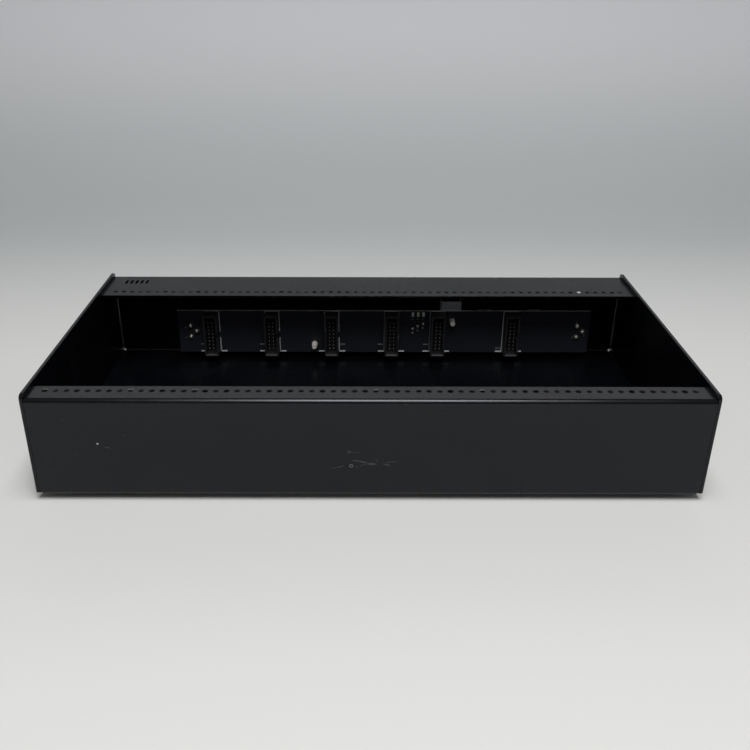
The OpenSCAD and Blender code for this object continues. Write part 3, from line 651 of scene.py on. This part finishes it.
def printedMarks():
    low, high = boardLow.z + inkMarks["below"], boardHigh.z - inkMarks["above"]
    tall = high - low
    white = printedInk("white_screen_ink", *inkMarks["white"])
    thin = printedInk("thin_screen_ink", *inkMarks["thin"])
    bars = [onBoard(m.x + side * inkMarks["barSide"], boardLow.z + inkMarks["barUp"])
            for m in headerMiddles for side in (-1, 1)]
    settle(copiesOf(inkStrip(*inkMarks["bar"]), bars), "header_end_marks", white)
    smalls = [onBoard(m.x + side * inkMarks["smallSide"], boardLow.z + inkMarks["smallUp"] + step)
              for m, (side, step) in zip(headerMiddles, inkMarks["smallAt"])]
    settle(copiesOf(inkStrip(*inkMarks["smallBar"]), smalls), "header_side_marks",
           printedInk("worn_screen_ink", *inkMarks["worn"]))
    for name, ink, chosen, share in (("header_outlines", white, (0, 1, 2), inkMarks["halfShare"]),
                                     ("header_end_outline", white, (5,), 1),
                                     ("header_faint_outlines", thin, (3, 4), 1)):
        lines = [onBoard(headerMiddles[i].x + side * inkMarks["outline"], high - tall * share / 2)
                 for i in chosen for side in (-1, 1)]
        settle(copiesOf(inkStrip(inkMarks["line"], tall * share), lines), name, ink)
    tops = [onBoard(m.x, boardHigh.z - inkMarks["topLine"][1] / 2) for m in headerMiddles]
    settle(copiesOf(inkStrip(*inkMarks["topLine"]), tops), "header_top_lines", white)
    # the lower part of the right outline of the first headers: real print drawn wider where it is lit, as
    # painted light
    paintedLightTall = tall * inkMarks["paintedLightShare"]
    paintedLightLines = [onBoard(m.x + inkMarks["paintedLightSide"], low + paintedLightTall / 2)
            for m in headerMiddles[:inkMarks["paintedLightOn"]]]
    settle(copiesOf(inkStrip(inkMarks["paintedLightWidth"], paintedLightTall), paintedLightLines), "header_lines_painted_light", white)
    lampLow, lampHigh = boxOf("status_lamps")
    lampMiddle = (lampLow + lampHigh) / 2
    dashes = [onBoard(lampMiddle.x + i * inkMarks["dashPitch"], lampLow.z - inkMarks["dashDrop"])
              for i in (-1, 0, 1)]
    settle(copiesOf(inkStrip(*inkMarks["dash"]), dashes), "lamp_marks", thin)


thread = {"holes": 62, "pitch": 5.08, "frontMargin": 8.9, "rows": 122.5, "sideRise": 2.3, "sheet": 1.5,
          "radius": 1.27, "ridge": 0.13, "lead": 0.5, "turns": 3, "steps": 9, "rimSides": 16,
          # wornFront: far-side arcs of bright metal, wear with a painted highlight; wornRear: a whole worn
          # rim
          "wornFront": (0, 8, 14, 31, 41), "wornRear": (56,),
          "rim": [(1.52, 0.0), (1.42, 0.04), (1.25, 0.02), (1.18, -0.2)],
          "wornRim": [(1.45, 0.02), (1.35, 0.06), (1.15, 0.04), (0.9, -0.2), (0.75, -0.5)],
          "edge": [(1.66, 0.01), (1.54, 0.07), (1.36, 0.05), (1.24, -0.1)],
          "edgeFrom": 0.8, "barrelRadius": 5.42, "barrelRidge": 0.3, "barrelLead": 0.75, "barrelTurns": 2,
          "barrelSteps": 40, "barrelSink": 0.2}


def wornEdgeWithPaintedGlint():  # the rear part of a rim in bright metal: bare metal from wear, kept only on the far side where it glints, as painted highlight
    edge = stackRings(thread["edge"], thread["rimSides"], fill="NOTHING")
    onlySelect([edge])
    bpy.ops.object.mode_set(mode="EDIT")
    bpy.ops.mesh.select_all(action="SELECT")
    bpy.ops.mesh.bisect(plane_co=(0, thread["edgeFrom"] * mm, 0), plane_no=(0, 1, 0), clear_inner=True)
    bpy.ops.object.mode_set(mode="OBJECT")
    return edge


def cutThreads():  # turns of thread in the module holes, and on the ends of the two jack barrels
    low, high = boxOf("chassis")
    top = high.z - thread["sideRise"]
    bottom = top - thread["sheet"]
    frontRow = low.y + thread["frontMargin"]
    for row, y in (("front", frontRow), ("rear", frontRow + thread["rows"])):
        turnsIn = helix(thread["radius"], thread["ridge"], thread["lead"], thread["turns"], thread["steps"])
        middle = (thread["holes"] - 1) / 2
        along = [(i - middle) * thread["pitch"] for i in range(thread["holes"])]
        holes, mouths = [[Vector((x, y, z)) * mm for x in along] for z in (bottom, top)]
        # the threads and the rims round the hole mouths are in steel darkened as painted shade, so that the
        # holes read dark and wide
        settle(copiesOf(turnsIn, holes), f"hole_threads_{row}", paintedShadeSteel)
        rim = stackRings(thread["rim"], thread["rimSides"], fill="NOTHING")
        settle(copiesOf(rim, mouths), f"hole_rims_{row}", paintedShadeSteel)
        # front row: bright half rims placed where the light glints, as painted highlight on worn metal; rear
        # row: a whole worn rim
        if row == "front":
            worn, chosen = wornEdgeWithPaintedGlint(), thread["wornFront"]
        else:
            worn = stackRings(thread["wornRim"], thread["rimSides"], fill="NOTHING")
            chosen = thread["wornRear"]
        settle(copiesOf(worn, [mouths[i] for i in chosen]), f"worn_holes_and_painted_glints_{row}", tinPlate)
    for side in sides:
        jackLow, jackHigh = boxOf(f"jack_{side}")
        nutRear = boxOf(f"jack_nut_{side}")[1].y
        x, z = (jackLow.x + jackHigh.x) / 2, (jackLow.z + jackHigh.z) / 2
        turnsOut = helix(thread["barrelRadius"], thread["barrelRidge"], thread["barrelLead"],
                         thread["barrelTurns"], thread["barrelSteps"])
        turnsOut.rotation_euler = toRear
        turnsOut.location = Vector((x, nutRear - thread["barrelSink"], z)) * mm
        settle(turnsOut, f"barrel_thread_{side}", black)


wear = {"relief": 0.04, "scratchWidth": 0.36, "smearWidth": 0.9, "taper": 0.3, "strokeSides": 6,
        "ringRadius": 0.82, "ringWidth": 0.24, "ringShare": 0.9, "ringSides": (18, 6),
        "scuffed": ("#4c4e52", "#202228"), "greasy": ("#3b3f37", "#1a1c1c"),
        "rubbed": ("#6e7068", "#3c3e3a"), "chipped": ("#c9cac6", "#8d8f8e"),
        "speckRings": [(0.5, 0), (0.42, 0.05), (0.2, 0.08)], "speckSides": 9,
        "chipSize": 1, "speckSize": 0.5, "patchMm": 1.3, "patchReach": (0.4, 0.58),
        # marks: millimetres from the middle of the face and up from its lower edge
        "scratches": [[(-20.5, 15.6), (-16.1, 16.6), (-11.8, 17.9)],
                      [(-8.9, 20.8), (-5.8, 20.2), (-2.2, 19.2)], [(-1.6, 19.1), (2.7, 18.9)],
                      [(6.4, 19.1), (9.9, 20.0), (13.6, 20.0)],
                      [(-11.6, 26.8), (-9.4, 25.6), (-5.2, 25.4)], [(-11.4, 24.6), (-9.4, 25.6)],
                      [(-3.6, 18.3), (-2.0, 18.7)], [(3.0, 21.3), (3.1, 19.9)],
                      [(-127.4, 28.1), (-124.0, 27.4)]],
        "smears": [[(-8.4, 20.9), (-4.5, 20.2), (-1.0, 19.2)], [(-1.4, 18.4), (1.0, 18.5), (3.0, 18.3)],
                   [(5.8, 18.7), (8.0, 18.4), (9.9, 17.7)], [(-6.6, 17.5), (-6.3, 16.8), (-6.1, 16.1)]],
        "ring": (-9.2, 17.6), "chip": [(-130.5, 30.0)],
        "specks": [(-4.5, 17.7), (-141.4, 23.6), (-125.2, 19.2), (-117.5, 35.0), (-99.4, 11.9)]}


def onFace(x, up):  # a place on the case's front face, in metres
    low = boxOf("chassis")[0]
    return Vector((x, low.y, low.z + up)) * mm


def wornStroke(points, width):  # a worn line: a flat ring drawn out from point to point
    spots = [onFace(x, up) for x, up in points]
    if len(spots) == 2:
        spots.insert(1, (spots[0] + spots[1]) / 2)  # full width between two tapered ends
    ahead = spots[1] - spots[0]
    bpy.ops.object.select_all(action="DESELECT")
    bpy.ops.mesh.primitive_circle_add(vertices=wear["strokeSides"], radius=width / 2 * mm, location=spots[0],
                                      rotation=(0, math.atan2(ahead.x, ahead.z), 0))
    bpy.ops.object.transform_apply(location=True, rotation=True, scale=True)
    bpy.ops.object.mode_set(mode="EDIT")
    bpy.ops.mesh.select_all(action="SELECT")
    taper = wear["taper"]
    bpy.ops.transform.resize(value=(taper, 2 * wear["relief"] / width, taper), center_override=spots[0])
    for i in range(1, len(spots)):
        bpy.ops.mesh.extrude_region_move(TRANSFORM_OT_translate={"value": spots[i] - spots[i - 1]})
        share = taper if i == len(spots) - 1 else 1
        share = share / taper if i == 1 else share
        bpy.ops.transform.resize(value=(share, 1, share), center_override=spots[i])
    faceOutward()
    return bpy.context.active_object


def rubbedCoat(name, rubbed, sound):  # coat dulled by rubbing: grey that comes and goes along a mark
    material, tree, coords = startMaterial(name)
    patch = addNode(tree, "ShaderNodeTexNoise", {},
                    {"Vector": coords, "Scale": perMetre(wear["patchMm"]), "Detail": 3})
    share = addNode(tree, "ShaderNodeMapRange", {"interpolation_type": "SMOOTHSTEP"},
                    {"Value": patch.outputs["Fac"], "From Min": wear["patchReach"][0],
                     "From Max": wear["patchReach"][1]})
    colour = addNode(tree, "ShaderNodeMix", {"data_type": "RGBA"},
                     {0: share.outputs["Result"], 6: linearOf(sound), 7: linearOf(rubbed)})
    endMaterial(tree, {"Base Color": colour.outputs[2], "Roughness": 0.5})
    return material


def handlingWear():  # scratches, smears and chips in the coat of the front face
    scuff = rubbedCoat("scuffed_coat", *wear["scuffed"])
    grease = rubbedCoat("greasy_smear", *wear["greasy"])
    chip = printedInk("chipped_coat", *wear["chipped"])  # primer shows, as patchy as ink
    for name, material, marks, width in (("front_scratches", scuff, wear["scratches"], wear["scratchWidth"]),
                                         ("front_smears", grease, wear["smears"], wear["smearWidth"])):
        strokes = [wornStroke(points, width) for points in marks]
        onlySelect(strokes)
        bpy.ops.object.join()
        settle(strokes[0], name, material)
    middle = onFace(*wear["ring"])
    bpy.ops.object.select_all(action="DESELECT")
    bpy.ops.mesh.primitive_torus_add(major_radius=wear["ringRadius"] * mm,
                                     minor_radius=wear["ringWidth"] * mm,
                                     major_segments=wear["ringSides"][0],
                                     minor_segments=wear["ringSides"][1],
                                     location=middle, rotation=toFront)
    ring = bpy.context.active_object
    bpy.ops.object.transform_apply(location=True, rotation=True, scale=True)
    bpy.ops.object.mode_set(mode="EDIT")
    bpy.ops.mesh.select_all(action="SELECT")
    bpy.ops.transform.resize(value=(1, wear["relief"] / wear["ringWidth"], wear["ringShare"]),
                             center_override=middle)
    bpy.ops.object.mode_set(mode="OBJECT")
    settle(ring, "front_ring_mark", rubbedCoat("rubbed_coat", *wear["rubbed"]))
    for name, material, spots, size in (("front_chip", chip, wear["chip"], wear["chipSize"]),
                                        ("front_specks", scuff, wear["specks"], wear["speckSize"])):
        speck = stackRings(wear["speckRings"], wear["speckSides"], toFront)
        specks = copiesOf(speck, [onFace(*spot) for spot in spots], sizes=[size] * len(spots))
        settle(specks, name, material)


solderJoints()
printedMarks()
cutThreads()
handlingWear()
print("pieces: solder, print, threads and wear")
